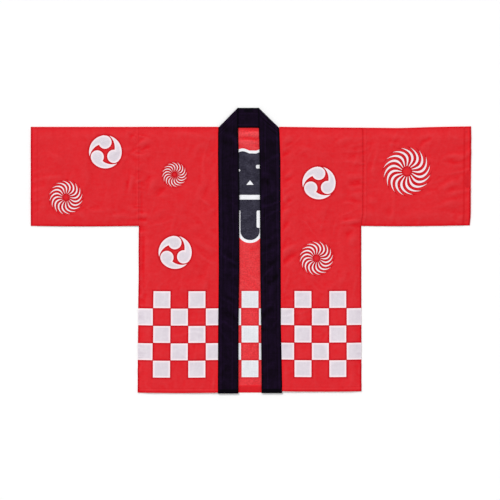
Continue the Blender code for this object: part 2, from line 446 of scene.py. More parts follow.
# How far each place stands above the cloth around it, in millimetres.
def standing(z, columns, rows, reach=4):
    around = np.pad(z.reshape(columns, rows), reach, mode="edge")
    steps = range(2 * reach + 1)
    mean = sum(around[i:i + columns, j:j + rows] for i in steps for j in steps) / len(steps) ** 2
    return (z - mean.ravel()) * 1000


# A sheet's mesh from the flat places of its columns and rows, and a function that lays it.
def layCloth(name, across, down, lay, side=1):
    u, v = (grid.ravel() for grid in np.meshgrid(across, down, indexing="ij"))
    x, y, z = lay(u, v)
    u = u * side
    columns, rows = len(across), len(down)
    first = (np.arange(columns - 1)[:, None] * rows + np.arange(rows - 1)[None, :]).ravel()
    quads = np.stack([first, first + rows, first + rows + 1, first + 1], axis=1)
    mesh = bpy.data.meshes.new(name)
    mesh.from_pydata(np.stack([x, y, z], axis=1).tolist(), [], quads.tolist())
    cut = mesh.uv_layers.new(name="cut")
    corner = np.array([loop.vertex_index for loop in mesh.loops])
    cut.data.foreach_set("uv", np.stack([u[corner], v[corner]], axis=1).ravel())
    raised = mesh.attributes.new("raised", "FLOAT", "POINT")
    raised.data.foreach_set("value", standing(z, columns, rows))
    mesh.update()
    mesh.shade_smooth()
    piece = bpy.data.objects.new(name, mesh)
    bpy.context.scene.collection.objects.link(piece)
    wall = piece.modifiers.new("wall", "SOLIDIFY")
    wall.thickness = cloth["thickness"]
    wall.offset = 0
    return piece


def stitchDip(d):
    # the pull at a distance d from the row
    return cloth["stitchDip"] * np.exp(-((d / 0.0016) ** 2))


def turnHem(past, radius):
    # a place past a folded edge: how far back from the edge it lies, and how far below or above
    arc = math.pi * radius
    turn = np.clip(past / radius, 0, math.pi)
    back = np.where(past > arc, past - arc, 0) - radius * np.sin(turn)
    return back, radius * (1 - np.cos(turn))


print("stage: fronts")

front = {"step": 0.0030, "hem": 0.016, "hemStitch": 0.0118, "hemRise": 0.00035,
         "reach": 0.00072}     # how far the inner edge is drawn in against the band's seam


def layFront(side):
    def lay(u, v):
        past = np.maximum(0, v - bodyLength)
        back, below = turnHem(past, cloth["hemTurn"])
        y = shoulderY - np.minimum(v, bodyLength) + back
        neckTurn = smooth((y - (shoulderY - neckDrop - 0.010)) / 0.010)
        drawn = front["reach"] * (1 - smooth((u - bandOuter - seamGap) / 0.004))
        x = side * (u + 0.0008 * neckTurn * (1 - smooth((u - bandOuter) / 0.02)) - drawn)
        z = upperHeight(x, y) - below
        sewn = np.minimum(shoulderY - y, np.where(y < underarmY, halfWidth - u, 1.0))
        atArmhole = armholeFall(halfWidth - u, y, side) * (y >= underarmY)
        z -= np.maximum(roundedEdge(np.maximum(sewn, 0)), atArmhole)
        z -= 0.5 * stitchDip(v - (bodyLength - front["hemStitch"])) * (past == 0)
        z += front["hemRise"] * smooth((v - (bodyLength - front["hemStitch"])) / 0.002)
        dx, dy = lieShift(x, y)
        besideBand = 1 - smooth((u - bandOuter) / 0.045)
        dx = dx + besideBand * strayOf("rightSeam" if side < 0 else "leftSeam", y)
        return x + dx, y + dy, np.maximum(z, cloth["onBack"])

    return lay


frontAcross = gridLines(
    bandOuter + seamGap, halfWidth, front["step"],
    [(halfWidth, 0.0034, 0.0005), (bandOuter, 0.003, 0.001)],
)
frontDown = gridLines(
    0, bodyLength + front["hem"], front["step"],
    [(0, *seamLines)] + hemLines(bodyLength, front["hemStitch"]),
)
frontRight = layCloth("frontRight", frontAcross, frontDown, layFront(-1), -1)
frontLeft = layCloth("frontLeft", frontAcross, frontDown, layFront(1))
frontLeft.data.flip_normals()

print("stage: sleeves")

sleeve = {"step": 0.0030, "hem": 0.022, "hemStitch": 0.0203, "ridge": 0.0100, "ridgeHeight": 0.0003,
          "hemFall": 0.00040}


def laySleeve(side):
    def lay(u, v):
        past = np.maximum(0, u - cuffX)
        back, below = turnHem(past, cloth["hemTurn"])
        x = side * (np.minimum(u, cuffX) - back)
        low = cloth["rest"]
        radius = (cloth["seamHeight"] - low) / 2
        quarter = radius * math.pi / 2
        top = shoulderY - cloth["thickness"] / 2 - radius
        turn = np.clip(v / radius, -math.pi / 2, math.pi / 2)
        y = top + radius * np.cos(turn) - np.maximum(0, np.abs(v) - quarter)
        onFront = v >= 0
        flatZ = low + radius + radius * np.sin(turn)
        upper = upperHeight(x, np.minimum(y, shoulderY)) - cloth["seamHeight"]
        lower = lowerHeight(x, y) - low
        away = smooth((np.abs(v) - quarter * 0.4) / (quarter * 1.6))
        z = flatZ + np.where(onFront, upper, lower) * away
        fromArmhole = u - halfWidth
        toUnderarm = sleeveDepth + quarter - radius - np.abs(v)
        up = np.sin(turn)
        inward = below + 0.5 * stitchDip(u - (cuffX - sleeve["hemStitch"])) * (past == 0)
        z -= up * inward
        y -= np.cos(turn) * inward
        atUnderarm = roundedEdge(np.maximum(toUnderarm, 0))
        atArmhole = armholeFall(fromArmhole, y, side) * np.maximum(up, 0)
        z -= np.where(onFront, np.maximum(atUnderarm, atArmhole), -0.4 * atUnderarm)
        ridge = smooth(fromArmhole / 0.0015) * (1 - smooth((fromArmhole - sleeve["ridge"]) / 0.0018))
        z += sleeve["ridgeHeight"] * ridge * np.where(onFront, 1.0, 0.0)
        hemmed = smooth((u - (cuffX - sleeve["hemStitch"])) / 0.002)
        z -= sleeve["hemFall"] * hemmed * np.maximum(up, 0)
        dx, dy = lieShift(x, y)
        return x + dx, y + dy, np.maximum(z, np.where(onFront, cloth["onBack"], cloth["rest"]))

    return lay


sleeveEdge = sleeveDepth + (cloth["seamHeight"] - cloth["rest"]) / 2 * (math.pi / 2 - 1) - 0.0001
sleeveAcross = gridLines(
    halfWidth + cloth["sewnGap"], cuffX + sleeve["hem"], sleeve["step"],
    [(halfWidth, 0.0036, 0.0005), (halfWidth + sleeve["ridge"] + 0.001, 0.0015, 0.0005)]
    + hemLines(cuffX, sleeve["hemStitch"]),
)
sleeveRound = gridLines(
    -sleeveEdge, sleeveEdge, sleeve["step"],
    [(-sleeveEdge, *seamLines), (0, 0.0028, 0.0002), (sleeveEdge, *seamLines)],
)
sleeveRight = layCloth("sleeveRight", sleeveAcross, sleeveRound, laySleeve(-1), -1)
sleeveLeft = layCloth("sleeveLeft", sleeveAcross, sleeveRound, laySleeve(1))
sleeveLeft.data.flip_normals()

print("stage: back")

back = {"step": 0.0042, "hem": 0.0225, "hemStitch": 0.0205, "neckEase": 0.0008}


def layBack(u, v):
    past = np.maximum(0, v - bodyLength)
    turnedBack, above = turnHem(past, cloth["hemTurn"])
    atNeck = np.abs(u) < bandOuter + back["neckEase"]
    start = np.where(atNeck, neckDrop + seamGap, 0)
    v = np.where(v < 0.012, start + v * (0.012 - start) / 0.012, v)
    y = shoulderY - np.minimum(v, bodyLength) + turnedBack
    x = u
    z = lowerHeight(x, y) + above
    sewn = np.where(y < underarmY, halfWidth - np.abs(x), 1.0)
    sewn = np.minimum(sewn, np.where(atNeck, 1.0, shoulderY - y))
    z += 0.5 * roundedEdge(np.maximum(sewn, 0)) * (past == 0)
    z += 0.5 * stitchDip(v - (bodyLength - back["hemStitch"])) * (past == 0)
    dx, dy = lieShift(x, y)
    return x + dx, y + dy, z


backAcross = gridLines(
    -halfWidth, halfWidth, back["step"],
    [(-halfWidth, *seamLines), (halfWidth, *seamLines)]
    + [(side * (bandOuter + back["neckEase"]), 0.0012, 0.0004) for side in (1, -1)],
)
backDown = gridLines(
    0, bodyLength + back["hem"], back["step"],
    [(0, *seamLines)] + hemLines(bodyLength, back["hemStitch"]),
)
backPanel = layCloth("backPanel", backAcross, backDown, layBack)

print("stage: collar band")

band = {
    "halfDepth": 0.00095,    # from the band's middle to each of its two cloths' middles
    "edge": 0.0011,
    "topZ": 0.0043,
    "lowZ": 0.0013,
    "step": 0.0045,
    "shearReach": 0.16,
    "allowance": 0.013,      # the seam allowances inside end here, from the seam
    "interlining": 0.042,    # and the stiffening's edge runs here
    "ridge": 0.00035,
    "turnedIn": 13,          # millimetres of each end turned in
    "stitch": 0.0026,        # from the seam to the stitches
}
bendRadius = (band["topZ"] - band["lowZ"]) / 2
bendArc = math.pi * bendRadius
foldStart = (shoulderY - neckDrop - bendArc / math.sqrt(2)) - hemY
foldEnd = foldStart + bendArc * math.sqrt(2)
halfBand = foldStart + bandOuter + bendArc / math.sqrt(2)


def layBand(w, s):
    # w runs round the band: 0 at the free edge, plus on the outer cloth, minus on the inner one
    second = s > halfBand
    along = np.where(second, 2 * halfBand - s, s)
    fromSeam = bandWidth - np.abs(w)
    shear = smooth((along - foldStart + band["shearReach"]) / band["shearReach"])
    # rows are parallel to the fold line near it, and turn straight again at the middle of the neck
    afterFold = (along - foldEnd) / (halfBand - foldEnd)
    shear = np.where(afterFold > 0, 1 - np.clip(afterFold, 0, 1), shear)
    along = along + shear * fromSeam
    # the two cloths part from the free edge's fold and close again at the seam and at the ends
    fromFree = np.abs(w)
    half = band["halfDepth"]
    quarter = half * math.pi / 2
    turn = np.clip(w / half, -math.pi / 2, math.pi / 2)
    depth = half * np.sin(turn)
    across = np.where(fromFree > quarter, fromSeam + (quarter - half), bandWidth - half * (1 - np.cos(turn)))
    across = np.clip(across, 0, bandWidth)
    closing = smooth(across / 0.0035)
    ended = smooth((along + 0.0002) / 0.0022)
    depth = depth * (0.45 + 0.55 * closing) * (0.25 + 0.75 * ended)
    depth += 0.00012 * np.sign(w) * ripple(along, w, 0.085, 7.7) * closing * ended
    # what lies inside the band shows through as two lengthwise ridges
    waver = 0.002 * ripple(along, w * 0, 0.23, 2.3 + second)
    inner = smooth((band["allowance"] + waver - across) / 0.002)
    inner += 0.8 * np.exp(-(((across - band["interlining"] - waver) / 0.0016) ** 2))
    depth -= np.sign(w) * stitchDip(across - band["stitch"]) * ended
    depth += band["ridge"] * np.sign(w) * inner * closing * ended * smooth((fromFree - 0.006) / 0.004)
    # flat strip, then the half turn about the 45 degree line, then the strip across the neck
    px = bandOuter - across
    py = hemY + along
    pastFold = (px + py - (bandOuter + hemY + foldStart)) / math.sqrt(2)
    turned = np.clip(pastFold / bendRadius, 0, math.pi)
    beyond = np.maximum(0, pastFold - bendArc)
    reach = np.where(pastFold > 0, bendRadius * np.sin(turned), pastFold) - beyond
    shift = pastFold - reach
    normalOut, normalUp = np.sin(turned), np.cos(turned)
    outward = -shift + normalOut * depth
    x = px + outward / math.sqrt(2)
    y = py + outward / math.sqrt(2)
    z = band["lowZ"] + bendRadius + bendRadius * np.cos(turned) + normalUp * depth
    onTop = 1 - smooth(pastFold / bendArc)
    onBand = np.where(second, 3.0, -3.0) + px
    creased = 0.00050 * streaks(onBand, py, 35, 0.022, 2.4, 91) + 0.00040 * hills(onBand, py, 0.070, 95)
    creased += 0.00030 * streaks(onBand, py, 88, 0.013, 7, 97)
    # strained cloth beside the turned corner
    creased += 0.00045 * ripple(pastFold, px * 0.1, 0.0085, 4.1 + second) * smooth((pastFold + 0.030) / 0.012)
    inside = smooth((across + 0.002) / 0.008) * smooth((bandWidth + 0.002 - across) / 0.006)
    z += onTop * creased * smooth(along / 0.03) * inside
    x = np.where(second, -x, x)
    toLeft = smooth(0.5 + x / 0.05)
    toFree = across / bandWidth
    stray = 0
    for share, name in ((toLeft, "left"), (1 - toLeft, "right")):
        stray = stray + share * ((1 - toFree) * strayOf(name + "Seam", y) + toFree * strayOf(name + "Free", y))
    y = y - 0.0012 * (1 - onTop) - np.where(second, 0.0030, 0.0018) * (1 - smooth(along / 0.10))
    return x + stray, y, np.maximum(z, cloth["rest"])


ridgePlaces = [side * (bandWidth - band[line]) for side in (-1, 1) for line in ("allowance", "interlining")]
bandRound = gridLines(
    -bandWidth, bandWidth, band["step"],
    [(-bandWidth, 0.0045, 0.0007), (0, 0.0024, 0.0003), (bandWidth, 0.0045, 0.0007)]
    + [(place, 0.005, 0.001) for place in ridgePlaces],
)
halfLines = [
    (0, 0.003, 0.0005), (foldStart - 0.015, 0.012, 0.0015), ((foldStart + foldEnd) / 2, 0.0045, 0.0005)]
bandAlong = gridLines(
    0, 2 * halfBand, band["step"],
    halfLines + [(2 * halfBand - place, *spread) for place, *spread in reversed(halfLines)],
)
collar = layCloth("collarBand", bandRound, bandAlong, layBand)

print("stage: materials")


class Nodes:
    # the nodes of one material, world or shape
    def __init__(self, tree):
        self.tree = tree

    def node(self, kind, settings=None, inputs=None, outputs=0):
        made = self.tree.nodes.new(kind)
        for setting, value in (settings or {}).items():
            setattr(made, setting, value)
        for key, value in (inputs or {}).items():
            self.feed(made.inputs[key], value)
        if isinstance(outputs, tuple):
            return [Shade(self, made.outputs[key]) for key in outputs]
        return Shade(self, made.outputs[outputs])

    def feed(self, socket, value):
        if isinstance(value, Shade):
            self.tree.links.new(value.socket, socket)
        else:
            socket.default_value = value


class Shade:
    # what comes out of a node: sums on it add Math nodes
    def __init__(self, nodes, socket):
        self.nodes = nodes
        self.socket = socket

    def maths(self, operation, *others):
        return self.nodes.node("ShaderNodeMath", {"operation": operation}, dict(enumerate((self, *others))))

    def __neg__(self):
        return self.maths("MULTIPLY", -1.0)

    def __abs__(self):
        return self.maths("ABSOLUTE")

    def atLeast(self, other):
        return self.maths("MAXIMUM", other)

    def atMost(self, other):
        return self.maths("MINIMUM", other)

    def clamped(self):
        return self.atLeast(0.0).atMost(1.0)


def operatorFor(operation, reflected):
    def work(shade, other):
        pair = (other, shade) if reflected else (shade, other)
        return shade.nodes.node("ShaderNodeMath", {"operation": operation}, dict(enumerate(pair)))

    return work


signs = {"add": "ADD", "sub": "SUBTRACT", "mul": "MULTIPLY", "truediv": "DIVIDE", "pow": "POWER"}
for sign, operation in signs.items():
    setattr(Shade, f"__{sign}__", operatorFor(operation, False))
    setattr(Shade, f"__r{sign}__", operatorFor(operation, True))


class Dye(Nodes):
    # one material
    def __init__(self, name):
        self.material = bpy.data.materials.new(name)
        self.material.use_nodes = True
        super().__init__(self.material.node_tree)
        self.surface = self.tree.nodes["Principled BSDF"]

    def mix(self, amount, first, second):
        # colours are inputs 6 and 7 of a Mix node, and its colour result is output 2
        return self.node("ShaderNodeMix", {"data_type": "RGBA"}, {0: amount, 6: first, 7: second}, 2)

    def noise(self, name, u, v):
        overU, overV, detail, layer = noises[name]
        place = self.node("ShaderNodeCombineXYZ", None, {0: u * overU, 1: v * overV, 2: layer})
        return self.node("ShaderNodeTexNoise", None, {"Vector": place, "Scale": 1.0, "Detail": detail}, "Fac")

    def scaled(self, shade, level):
        return self.node("ShaderNodeVectorMath", {"operation": "SCALE"}, {0: shade, "Scale": level})

    def cut(self):
        # the place on the flat cut, in millimetres
        place = self.node("ShaderNodeUVMap", {"uv_map": "cut"})
        u, v = self.node("ShaderNodeSeparateXYZ", None, {0: place}, ("X", "Y"))
        return u * 1000.0, v * 1000.0

    def finish(self, values):
        for name, value in values.items():
            self.feed(self.surface.inputs[name], value)
        return self.material


def length(x, y):
    return (x * x + y * y).maths("SQRT")


def edgeOf(distance, soft):
    # 1 where the signed distance is below zero, with a printed edge of that softness
    return (0.5 - distance / soft).clamped()


def colour(red, green, blue):
    def linear(level):
        level = level / 255
        return level / 12.92 if level <= 0.04045 else ((level + 0.055) / 1.055) ** 2.4

    return (linear(red), linear(green), linear(blue), 1.0)


# Printed motifs. Places and sizes are in millimetres on the cut; x and y are in radii, y upwards.
def drawTomoe(x, y):
    # three commas: a round head and a tail that sweeps round the rim to a point
    tomoe = {"turn": -1, "head": 0.41, "headX": 0.512, "headY": -0.261,
             "hollow": 0.868, "hollowX": -0.324, "hollowY": 0.260, "aheadX": 0.454, "aheadY": 0.891}
    rim = length(x, y) - 1.0
    commas = None
    for third in range(3):
        turn = math.radians(tomoe["turn"] + 120 * third)
        a = x * math.cos(turn) + y * math.sin(turn)
        b = y * math.cos(turn) - x * math.sin(turn)
        head = length(a - tomoe["headX"], b - tomoe["headY"]) - tomoe["head"]
        hollow = tomoe["hollow"] - length(a - tomoe["hollowX"], b - tomoe["hollowY"])
        ahead = -(b * tomoe["aheadY"] + a * tomoe["aheadX"])
        comma = head.atMost(rim.atLeast(hollow).atLeast(ahead))
        commas = comma if commas is None else commas.atMost(comma)
    return commas


def drawSwirl(x, y):
    # a wheel of curved blades that taper to the rim
    swirl = {"blades": 16, "hub": 0.205, "share": 0.535, "bend": 130, "phase": 7.5,
             "straightAt": 0.42, "taperStart": 0.56, "taper": 3.2}
    out = length(x, y)
    pitch = 360 / swirl["blades"]
    angle = y.maths("ARCTAN2", x) * (180 / math.pi)
    lean = (out - swirl["straightAt"]) * (out - swirl["straightAt"]) * swirl["bend"] + swirl["phase"]
    step = ((angle - lean) / pitch + swirl["blades"]).maths("FRACT")
    taper = ((out - swirl["taperStart"]) / (1 - swirl["taperStart"])).atLeast(0.0) ** swirl["taper"]
    half = (1.0 - taper) * (swirl["share"] / 2)
    blade = (abs(step - 0.5) - half) * out * (2 * math.pi / swirl["blades"])
    return blade.atLeast(swirl["hub"] - out).atLeast(out - 1.0)


motifs = {
    # kind, u, v, width across, seen from the outside of the front or of the back
    "frontRight": [("swirl", -227.5, 144, 78), ("tomoe", -225, 377.5, 101)],
    "frontLeft": [("tomoe", 206.5, 169, 100), ("swirl", 200, 395.5, 105)],
    "sleeveRight": [("tomoe", -436, 75.5, 101), ("swirl", -556, 212, 105), ("swirl", -506, -180, 142)],
    "sleeveLeft": [("swirl", 470, 134.5, 146), ("tomoe", 477, -97, 101), ("swirl", 561, -201, 72)],
    "backPanel": [("swirl", 216, 189, 101), ("tomoe", 196, 414, 103), ("tomoe", -218, 103, 102),
                  ("swirl", -176, 391, 136)],
}
printing = {
    "soft": 0.7,
    "check": 52.25,
    "checkRows": 5,
    "checkTop": 493.7,
    "frontCheckStart": 81.0,
    "narrow": 1.0,           # the white shapes print this much smaller than drawn
    "rim": 7.0,              # dye gathers this far outside a white shape, whose own rim is cleanest
    "fresh": 9.0,            # the red is brighter this far from the band
    "brightening": 0.7,
    "deep": 7.0,             # painted shade, in darker red, this far from folded edges and hems
    "turnedIn": 0.35,        # how strong that is past the edge, and what an edge in sight adds
    "inSight": 0.55,
    "side": (2.5, 6.0),      # painted shade in deeper red at a side: full, and gone
    "cuff": (7.5, 4.5, 0.4),    # a painted highlight, a brighter red line along the cuff: middle, reach, strength
    # painted shadow in darker red along the armhole and underarm seams and the cuff's stitch line: reach, and
    # strength on each side
    "seam": 5.0,
    "seamDepth": {"Left": 0.50, "Right": 0.15},
    "evenWhite": 0.75,       # the white print hides that much of the cloth's unevenness
}


# Millimetres to the nearest motif's edge, minus inside a motif.
def drawMotifs(name, u, v):
    total = None
    for kind, atU, atV, width in motifs[name]:
        radius = width / 2
        onBack = name == "backPanel" or atV < 0
        x = (u - atU) * ((-1.0 if onBack else 1.0) / radius)
        y = (v - atV) * ((1.0 if atV < 0 else -1.0) / radius)
        draw = drawTomoe if kind == "tomoe" else drawSwirl
        distance = draw(x, y) * radius
        total = distance if total is None else total.atMost(distance)
    return total


def drawCheck(u, v, start, odd):
    square = printing["check"]

    def toLine(place):
        # distance to the nearest line between squares, plus and minus on alternate squares
        return (place + square / 2).maths("PINGPONG", square) - square / 2

    top = printing["checkTop"]
    foot = top + printing["checkRows"] * square
    column = toLine(u - start)
    row = toLine(v.atLeast(top + square / 2).atMost(foot - square / 2) - top)
    outside = (column * row).maths("SIGN") * abs(column).atMost(abs(row)) * (-1.0 if odd else 1.0)
    return outside.atLeast(top - v).atLeast(v - foot)


# A black festival lantern with a white outline on the back: a scalloped cap, a hooped body with a plain
# panel, and a tassel.
lantern = {
    "bodyMiddle": 167, "bodyHalfHeight": 87, "bodyHalfWidth": 113, "round": 2.4, "outline": 8.5,
    "capHalf": 58, "capTop": 78, "capFoot": 104, "scallop": 4.5, "scallopLength": 62, "scallopStart": 6.5,
    "corner": 7, "tasselHalf": 29, "tasselCorner": 27.5, "tasselFoot": 341,
    "hoopSpacing": 17, "hoop": 1.1, "hoopStart": 20.5, "bulge": 0.8, "bulgeShare": 0.45,
    "panel": 38, "rim": 8.0, "line": 1.6, "barMiddle": 212, "barHalfHeight": 7, "barHalf": 110,
    "triangle": 169, "triangleSize": 8, "triangleSlope": 1.25, "triangleTop": 0.7, "markCorner": 4,
}
lanternMarks = [
    # u, v, half width, half height
    (28, 120, 10, 5.5),
    (-34, 131, 4.5, 4),
    (28, 278, 8, 26),
]


def roundedBox(across, v, halfWidth, top, foot, corner):
    outX = (across - (halfWidth - corner)).atLeast(0.0)
    outY = (abs(v - (top + foot) / 2) - ((foot - top) / 2 - corner)).atLeast(0.0)
    return length(outX, outY) - corner


def drawLantern(u, v):
    across = abs(u)
    ovalX = across / lantern["bodyHalfWidth"]
    ovalY = abs(v - lantern["bodyMiddle"]) / lantern["bodyHalfHeight"]
    power = lantern["round"]
    oval = ((ovalX ** power + ovalY ** power) ** (1 / power) - 1.0) * lantern["bodyHalfHeight"]
    wave = ((u + lantern["scallopStart"]) * (2 * math.pi / lantern["scallopLength"])).maths("SINE")
    scalloped = v - wave * lantern["scallop"]
    cap = roundedBox(
        across, scalloped, lantern["capHalf"], lantern["capTop"], lantern["capFoot"], lantern["corner"])
    tassel = roundedBox(
        across, v, lantern["tasselHalf"], lantern["bodyMiddle"], lantern["tasselFoot"], lantern["tasselCorner"])
    shape = oval.atMost(cap).atMost(tassel)
    black = edgeOf(shape, printing["soft"])
    outline = edgeOf(shape - lantern["outline"], printing["soft"])
    # hoops either side of the plain panel, closer together towards the caps
    bulge = (1.0 - ovalX * ovalX * lantern["bulge"]).atLeast(0.0).maths("SQRT")
    bulge = bulge * lantern["bulgeShare"] + (1 - lantern["bulgeShare"])
    hoop = (v - lantern["bodyMiddle"]) / bulge / lantern["hoopSpacing"] + lantern["hoopStart"]
    rib = abs(hoop.maths("FRACT") - 0.5) * lantern["hoopSpacing"] - lantern["hoop"]
    rib = rib.atLeast(lantern["panel"] - across).atLeast(oval + lantern["rim"])
    bar = abs(v - lantern["barMiddle"]) - lantern["barHalfHeight"]
    bar = bar.atLeast(across - lantern["barHalf"]).atLeast(oval)
    rise, size = v - lantern["triangle"], lantern["triangleSize"]
    triangle = across * lantern["triangleSlope"] - rise - size
    triangle = triangle.atLeast(rise - size * lantern["triangleTop"])
    # the cap's lower edge shows either side of the panel
    capEdge = (abs(v - lantern["capFoot"]) - lantern["line"]).atLeast(across - lantern["capHalf"])
    marks = rib.atMost(bar).atMost(triangle).atMost(capEdge.atLeast(lantern["panel"] - across))
    for atU, atV, halfWide, halfHigh in lanternMarks:
        mark = roundedBox(abs(u - atU), v, halfWide, atV - halfHigh, atV + halfHigh, lantern["markCorner"])
        marks = marks.atMost(mark)
    return outline, black * (1.0 - edgeOf(marks, printing["soft"]))


look = {
    # the darker reds paint shade at the sides, folds, hems and seams; the brighter red paints a highlight along
    # the cuffs and lightens the red beside the band
    "outside": {"red": (220, 26, 35), "pale": (222, 55, 61), "rimAndShadeRed": (188, 0, 18),
                "shadowRed": (206, 0, 16), "brightRed": (238, 28, 38),
                "white": (232, 224, 231), "dullWhite": (215, 205, 215), "cleanWhite": (255, 240, 245),
                "line": (236, 232, 238), "black": (18, 8, 22), "paleBlack": (24, 14, 28)},
    "inside": {"red": (225, 42, 49), "pale": (232, 74, 79), "rimAndShadeRed": (206, 30, 40),
               "shadowRed": (215, 32, 40), "brightRed": (228, 50, 56),
               "white": (232, 233, 238), "dullWhite": (224, 226, 232), "cleanWhite": (240, 243, 247),
               "line": (245, 245, 249), "black": (36, 33, 47), "paleBlack": (66, 64, 78)},
    "collar": {"black": (5, 0, 6), "paleBlack": (25, 10, 36), "edge": (0, 0, 3),
               "depth": {"edge": 1.2, "edgeReach": 5.0, "end": 0.8, "neck": 0.6}},
    # raised creases are painted paler and hollows darker by these amounts: painted light and shade
    "fade": {"outside": 0.70, "inside": 0.60, "collar": 1.60},    # for each millimetre that a crease stands up
    "shine": {"outside": 0.03, "inside": 0.03, "collar": 0.05},
    "roughness": 0.72,
    "grain": {"outside": 0.10, "inside": 0.26, "collar": 1.30},
    "relief": {"outside": 0.9, "inside": 0.9, "collar": 1.0},
    "mottle": {"outside": 0.08, "inside": 0.80, "collar": 0.80},
    "blackMottle": 1.9,      # the black print is that much more uneven
    "bars": {"outside": 0.05, "inside": 0.06, "collar": 1.1},
    "cloud": 0.08,
    "threads": (0.56, 0.60),     # millimetres from thread to thread, across and down
    "threadHeight": 0.018,
    "slubHeight": 0.050,
    "slubRoughness": 0.12,
    "patches": (0.7, 0.5),       # how much the fine and the broad patches tell
}


noises = {
    # per millimetre across and down, detail, and a layer of its own in the noise
    "warp": (0.85, 0.022, 2.0, 1.0),
    "weft": (0.020, 0.80, 2.0, 7.0),
    "cloud": (0.018, 0.018, 3.0, 3.0),
    "bars": (0.09, 0.004, 2.0, 13.0),
    "mottle": (0.20, 0.23, 2.0, 11.0),
    "fine": (0.11, 0.13, 4.0, 5.0),
    "broad": (0.035, 0.045, 3.0, 15.0),
}


def weaveCloth(dye, u, v, base, face, uneven=1.0):
    # slubs along both sets of threads, slow changes of tone, and the threads as bump
    warp, weft, cloud, bars, mottle = (
        dye.noise(name, u, v) for name in ("warp", "weft", "cloud", "bars", "mottle"))
    level = 1.0 + (warp + weft - 1.0) * look["grain"][face] + (cloud - 0.5) * look["cloud"]
    level = level + (bars - 0.5) * look["bars"][face] + (mottle - 0.5) * look["mottle"][face] * uneven
    threads = [(place * (2 * math.pi / apart)).maths("SINE") for place, apart in zip((u, v), look["threads"])]
    height = threads[0] * threads[1] * look["threadHeight"] + (warp + weft) * look["slubHeight"]
    bump = {"Height": height, "Distance": 0.001, "Strength": look["relief"][face]}
    return dye.finish({
        "Base Color": dye.scaled(base, level),
        "Normal": dye.node("ShaderNodeBump", None, bump),
        "Roughness": look["roughness"] + (warp - 0.5) * look["slubRoughness"],
        "Specular IOR Level": look["shine"][face],
    })


def patchesAndCreaseShade(dye, u, v, face):
    # the dye took unevenly and lets some of the cloth's own colour through; raised creases are painted paler
    # and hollows darker, as painted light and shade
    raised = dye.node("ShaderNodeAttribute", {"attribute_name": "raised"}, None, "Fac")
    fineShare, broadShare = look["patches"]
    patches = (dye.noise("fine", u, v) - 0.5) * fineShare + (dye.noise("broad", u, v) - 0.5) * broadShare
    return (patches + raised * look["fade"][face] + 0.5).clamped()


# Millimetres from a place to the laid piece's nearest side and to its nearest fold or hem, minus on a
# turned-in hem.
def toOutline(name, u, v):
    if name.startswith("sleeve"):
        return cuffX * 1000 - abs(u), abs(v).atMost(sleeveDepth * 1000 - abs(v))
    low = (v - sleeveDepth * 1000).maths("GREATER_THAN", 0.0)
    side = halfWidth * 1000 - abs(u) + (1.0 - low) * halfWidth * 1000
    return side, v.atMost(bodyLength * 1000 - v)


def beside(distance, full, reach):
    # strongest at an edge, and weaker on cloth turned in past it
    inSight = distance.maths("GREATER_THAN", 0.0) * printing["inSight"]
    return ((reach - distance) / (reach - full)).clamped() * (printing["turnedIn"] + inSight)


def printedCloth(name, face):
    dye = Dye(f"{name} {face}")
    u, v = dye.cut()
    shades = {key: colour(*value) for key, value in look[face].items()}
    distance = drawMotifs(name, u, v)
    if name.startswith("front"):
        distance = distance.atMost(drawCheck(abs(u), v, printing["frontCheckStart"], False))
    if name == "backPanel":
        distance = distance.atMost(drawCheck(u, v, -printing["check"] / 2, True))
    distance = distance + printing["narrow"]
    printed = edgeOf(distance, printing["soft"])
    rim = (1.0 - abs(distance) / printing["rim"]).clamped()
    # the patches carry the dye's unevenness and the creases' painted light and shade
    patches = patchesAndCreaseShade(dye, u, v, face)
    red = dye.mix(patches, shades["red"], shades["pale"])
    # brighter red beside the band, and painted shade in darker red at the folded edges and hems
    besideBand = (1.0 - (abs(u) - bandOuter * 1000) / printing["fresh"]).clamped()
    if name.startswith("front"):
        red = dye.mix(besideBand * printing["brightening"], red, shades["brightRed"])
    toSide, toFold = toOutline(name, u, v)
    red = dye.mix(beside(toFold, 0.0, printing["deep"]), red, shades["shadowRed"])
    # painted shadow: darker red along the seams and along the cuff's stitch line
    toSeam = abs(abs(u) - halfWidth * 1000).atLeast(abs(v) - sleeveDepth * 1000)
    if name.startswith("sleeve"):
        toSeam = toSeam.atMost(abs(abs(u) - (cuffX - sleeve["hemStitch"]) * 1000))
        # painted highlight: a brighter red line along the cuff's hem
        middle, reach, brightening = printing["cuff"]
        red = dye.mix((1.0 - abs(toSide - middle) / reach).clamped() * brightening, red, shades["brightRed"])
    seamDepth = printing["seamDepth"]["Left" if name.endswith("Left") else "Right"]
    red = dye.mix((1.0 - toSeam / printing["seam"]).clamped() * seamDepth, red, shades["shadowRed"])
    # painted shade: deeper red along the sides, and the same red round the white shapes
    red = dye.mix(beside(toSide, *printing["side"]).atLeast(rim), red, shades["rimAndShadeRed"])
    white = dye.mix(rim, dye.mix(patches, shades["dullWhite"], shades["white"]), shades["cleanWhite"])
    base = dye.mix(printed, red, white)
    uneven = 1.0 - printed * printing["evenWhite"]
    if name == "backPanel":
        outline, black = drawLantern(u, v)
        base = dye.mix(outline, base, shades["line"])
        base = dye.mix(black, base, dye.mix(patches, shades["black"], shades["paleBlack"]))
        uneven = uneven.atMost(1.0 - outline * printing["evenWhite"]) + black * look["blackMottle"]
    return weaveCloth(dye, u, v, base, face, uneven)


